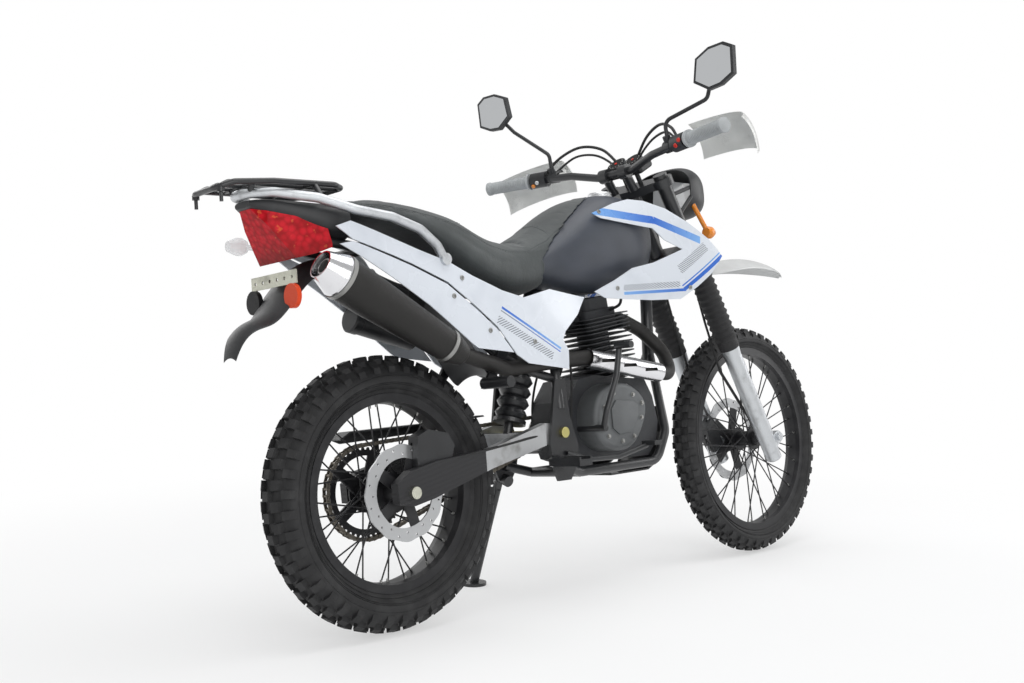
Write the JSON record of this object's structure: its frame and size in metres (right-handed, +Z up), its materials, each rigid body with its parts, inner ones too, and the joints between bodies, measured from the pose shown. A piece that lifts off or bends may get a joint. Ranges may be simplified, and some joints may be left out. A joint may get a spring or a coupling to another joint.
{
  "type": "dual sport motorcycle",
  "caption": "Single-cylinder dual sport motorcycle with wire wheels, high mudguard, long seat, rear rack and high exhaust, leaning on its side stand.",
  "frame": {"origin": "middle of the ground that the parked motorcycle covers, seen from above", "axes": "+X towards the front wheel, +Y to the rider's left, +Z up; the motorcycle leans to +Y"},
  "size_m": [2.1714, 0.95, 1.4416],
  "materials": {
    "tyre": "matt",
    "black_wheel": "satin black",
    "black_metal": "satin black",
    "silver": "satin",
    "rubber": "matt",
    "grip_rubber": "matt",
    "grey_plastic": "satin",
    "black_plastic": "moulded",
    "clear_plastic": "translucent white",
    "clear_lens": "clear",
    "amber_lens": "translucent",
    "red_lens": "translucent",
    "zinc": "zinc plated",
    "steel": "oiled",
    "engine_alloy": "dark painted cast",
    "chrome": "polished",
    "slate_plastic": "satin",
    "seat_vinyl": "matt vinyl",
    "white_plastic": "gloss"
  },
  "bodies": {
    "front_wheel": {"front_wheel": "black_wheel", "front_tyre": "tyre"},
    "rear_wheel": {"rear_wheel": "black_wheel", "rear_tyre": "tyre"},
    "steering": {"fork_yokes": "black_metal", "fork_sliders": "silver", "fork_gaiters": "rubber", "front_mudguard": "grey_plastic", "handlebar": "black_metal", "grips": "grip_rubber", "hand_controls": "black_plastic", "hand_guards": "clear_plastic", "mirrors": "black_plastic", "headlight_mask": "black_plastic", "headlight": "clear_lens", "instruments": "black_plastic", "front_indicators": "amber_lens", "front_caliper": "black_metal", "fork_cables": "rubber"},
    "chassis": {"main_frame": "black_metal", "subframe": "black_metal", "swingarm": "silver", "pivot_bolt": "zinc", "rear_axle": "zinc", "chain": "steel", "chain_guard": "black_plastic", "rear_shock": "black_metal", "rear_caliper": "black_metal", "crankcase": "engine_alloy", "engine_barrel": "engine_alloy", "cylinder_head": "engine_alloy", "engine_covers": "engine_alloy", "front_sprocket": "steel", "carburettor": "silver", "exhaust_header": "black_metal", "muffler": "black_metal", "muffler_end_cap": "chrome", "header_heat_shield": "chrome", "engine_guard": "black_metal", "fuel_tank": "slate_plastic", "fuel_cap": "chrome", "seat": "seat_vinyl", "upper_side_covers": "white_plastic", "lower_side_covers": "white_plastic", "tank_shrouds": "white_plastic", "tail_cover": "black_plastic", "tail_light": "red_lens", "grab_rail": "silver", "luggage_rack": "black_metal", "rear_fender": "black_plastic", "plate_bracket": "zinc", "rear_reflector": "red_lens", "rear_indicators": "clear_lens", "tool_box": "black_plastic", "footpegs": "black_metal", "kick_lever": "silver", "brake_pedal": "black_metal", "shift_lever": "black_metal"},
    "side_stand": {"side_stand": "black_metal"}
  },
  "joints": [
    {"name": "steering_turn", "type": "hinge", "parent": "chassis", "child": "steering", "pos_m": [0.35729, -0.03747, 0.92966], "axis": [-0.4617, 0.0927, 0.8822], "range_deg": [-42.5, 37.5]},
    {"name": "front_wheel_spin", "type": "hinge", "parent": "steering", "child": "front_wheel", "pos_m": [0.74078, -0.09614, 0.34304], "axis": [-0.0387, 0.9915, -0.1245], "continuous": true},
    {"name": "rear_wheel_spin", "type": "hinge", "parent": "chassis", "child": "rear_wheel", "pos_m": [-0.65917, -0.1015, 0.32051], "axis": [0, 0.9945, -0.1045], "continuous": true},
    {"name": "side_stand_swing", "type": "hinge", "parent": "chassis", "child": "side_stand", "pos_m": [-0.17917, 0.02894, 0.29876], "axis": [0.0811, 0.9698, 0.2299], "range_deg": [0, 77]}
  ]
}
